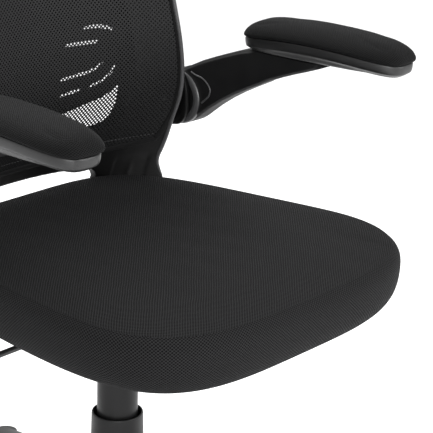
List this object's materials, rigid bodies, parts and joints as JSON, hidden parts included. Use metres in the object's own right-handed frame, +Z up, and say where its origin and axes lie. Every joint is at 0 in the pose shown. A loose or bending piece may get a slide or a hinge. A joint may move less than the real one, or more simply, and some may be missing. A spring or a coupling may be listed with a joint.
{
  "type": "office chair",
  "caption": "Swivel office chair with a net back on a slotted plastic frame, a thick mesh seat cushion, flip-up padded arms, a gas lift and a castor star base.",
  "frame": {"origin": "on the floor, on the column axis", "axes": "+Z up, the sitter faces -Y, +X to the left hand of the sitter"},
  "size_m": [0.6922, 0.6982, 1.001],
  "materials": {
    "black_plastic": "satin moulded",
    "dark_plastic": "fine grained",
    "grey_trim": "matt",
    "net": "open woven net",
    "cushion": "spacer mesh over foam",
    "pad": "fine woven",
    "board": "raw plywood",
    "lining": "non-woven",
    "mech_steel": "black powder coat",
    "steel": "ground",
    "zinc": "zinc plated",
    "wheel": "nylon"
  },
  "bodies": {
    "base": {"star_base": "dark_plastic", "lift_outer_tube": "mech_steel", "lift_guide_bush": "grey_trim", "lift_thrust_bearing": "steel", "lift_lower_cover": "dark_plastic"},
    "lift_rod": {"lift_piston_rod": "steel", "lift_retaining_clip": "zinc"},
    "column": {"lift_cylinder": "steel", "lift_upper_cover": "dark_plastic", "tilt_block": "mech_steel", "tilt_pivot_pin": "steel"},
    "valve": {"lift_valve_pin": "steel"},
    "lever_rocker": {"lever_sleeve": "mech_steel"},
    "lever": {"lever_rod": "mech_steel", "lever_grip": "black_plastic"},
    "seat": {"tilt_box": "mech_steel", "tilt_box_bolts": "zinc", "tension_bolt": "zinc", "tension_spring": "steel", "seat_board": "board", "seat_cushion": "cushion", "seat_dust_cover": "lining", "back_frame": "black_plastic", "back_frame_bolts": "zinc", "lumbar_panel": "black_plastic", "back_net": "net", "edge_piping": "grey_trim", "arm_pivot_pin_left": "steel", "arm_pivot_pin_right": "steel", "arm_washer_left": "grey_trim", "arm_washer_right": "grey_trim"},
    "knob": {"tension_knob": "black_plastic"},
    "arm_left": {"arm_beam_left": "black_plastic", "arm_tray_left": "black_plastic", "arm_pad_left": "pad", "arm_pad_screws_left": "zinc", "arm_hub_cap_left": "black_plastic"},
    "arm_right": {"arm_beam_right": "black_plastic", "arm_tray_right": "black_plastic", "arm_pad_right": "pad", "arm_pad_screws_right": "zinc", "arm_hub_cap_right": "black_plastic"},
    "caster_1": {"caster_1_hood": "black_plastic", "caster_1_pins": "steel"},
    "caster_1_roller": {"caster_1_wheels": "wheel"},
    "caster_2": {"caster_2_hood": "black_plastic", "caster_2_pins": "steel"},
    "caster_2_roller": {"caster_2_wheels": "wheel"},
    "caster_3": {"caster_3_hood": "black_plastic", "caster_3_pins": "steel"},
    "caster_3_roller": {"caster_3_wheels": "wheel"},
    "caster_4": {"caster_4_hood": "black_plastic", "caster_4_pins": "steel"},
    "caster_4_roller": {"caster_4_wheels": "wheel"},
    "caster_5": {"caster_5_hood": "black_plastic", "caster_5_pins": "steel"},
    "caster_5_roller": {"caster_5_wheels": "wheel"}
  },
  "joints": [
    {"name": "seat_swivel", "type": "hinge", "parent": "base", "child": "lift_rod", "pos_m": [0, 0, 0.08], "axis": [0, 0, 1], "continuous": true},
    {"name": "lift_height", "type": "slide", "parent": "lift_rod", "child": "column", "axis": [0, 0, 1], "range_m": [-0.025, 0.055]},
    {"name": "seat_tilt", "type": "hinge", "parent": "column", "child": "seat", "pos_m": [0, -0.075, 0.372], "axis": [-1, 0, 0], "range_deg": [0, 11], "stiffness_Nm_per_rad": 150, "springref_deg": -17.19, "deforming": ["tension_spring"]},
    {"name": "arm_left_flip", "type": "hinge", "parent": "seat", "child": "arm_left", "pos_m": [0.274, 0.125, 0.591], "axis": [-1, 0, 0], "range_deg": [0, 90]},
    {"name": "arm_right_flip", "type": "hinge", "parent": "seat", "child": "arm_right", "pos_m": [-0.274, 0.125, 0.591], "axis": [-1, 0, 0], "range_deg": [0, 90]},
    {"name": "lever_lift", "type": "hinge", "parent": "column", "child": "lever_rocker", "pos_m": [-0.041, 0, 0.375], "axis": [0, 1, 0], "range_deg": [0, 2.5], "stiffness_Nm_per_rad": 4, "springref_deg": -11.46},
    {"name": "lever_pull", "type": "slide", "parent": "lever_rocker", "child": "lever", "axis": [-1, 0, 0], "range_m": [0, 0.012]},
    {"name": "valve_press", "type": "slide", "parent": "column", "child": "valve", "axis": [0, 0, -1], "range_m": [0, 0.003]},
    {"name": "tension_turn", "type": "hinge", "parent": "seat", "child": "knob", "pos_m": [0, -0.112, 0.312], "axis": [0, 0, 1], "continuous": true},
    {"name": "caster_1_swivel", "type": "hinge", "parent": "base", "child": "caster_1", "pos_m": [0.08179, 0.30523, 0.06], "axis": [0, 0, 1], "continuous": true},
    {"name": "caster_1_roll", "type": "hinge", "parent": "caster_1", "child": "caster_1_roller", "pos_m": [0.08619, 0.32165, 0.025], "axis": [-0.9659, 0.2588, 0], "continuous": true},
    {"name": "caster_2_swivel", "type": "hinge", "parent": "base", "child": "caster_2", "pos_m": [-0.26502, 0.17211, 0.06], "axis": [0, 0, 1], "continuous": true},
    {"name": "caster_2_roll", "type": "hinge", "parent": "caster_2", "child": "caster_2_roller", "pos_m": [-0.27928, 0.18136, 0.025], "axis": [-0.5446, -0.8387, 0], "continuous": true},
    {"name": "caster_3_swivel", "type": "hinge", "parent": "base", "child": "caster_3", "pos_m": [-0.24558, -0.19886, 0.06], "axis": [0, 0, 1], "continuous": true},
    {"name": "caster_3_roll", "type": "hinge", "parent": "caster_3", "child": "caster_3_roller", "pos_m": [-0.25879, -0.20956, 0.025], "axis": [0.6293, -0.7771, 0], "continuous": true},
    {"name": "caster_4_swivel", "type": "hinge", "parent": "base", "child": "caster_4", "pos_m": [0.11324, -0.29501, 0.06], "axis": [0, 0, 1], "continuous": true},
    {"name": "caster_4_roll", "type": "hinge", "parent": "caster_4", "child": "caster_4_roller", "pos_m": [0.11934, -0.31088, 0.025], "axis": [0.9336, 0.3584, 0], "continuous": true},
    {"name": "caster_5_swivel", "type": "hinge", "parent": "base", "child": "caster_5", "pos_m": [0.31557, 0.01654, 0.06], "axis": [0, 0, 1], "continuous": true},
    {"name": "caster_5_roll", "type": "hinge", "parent": "caster_5", "child": "caster_5_roller", "pos_m": [0.33254, 0.01743, 0.025], "axis": [-0.0523, 0.9986, 0], "continuous": true}
  ],
  "couplings": [
    {"joint": "valve_press", "follows": "lever_lift", "m_per_rad": 0.045}
  ]
}
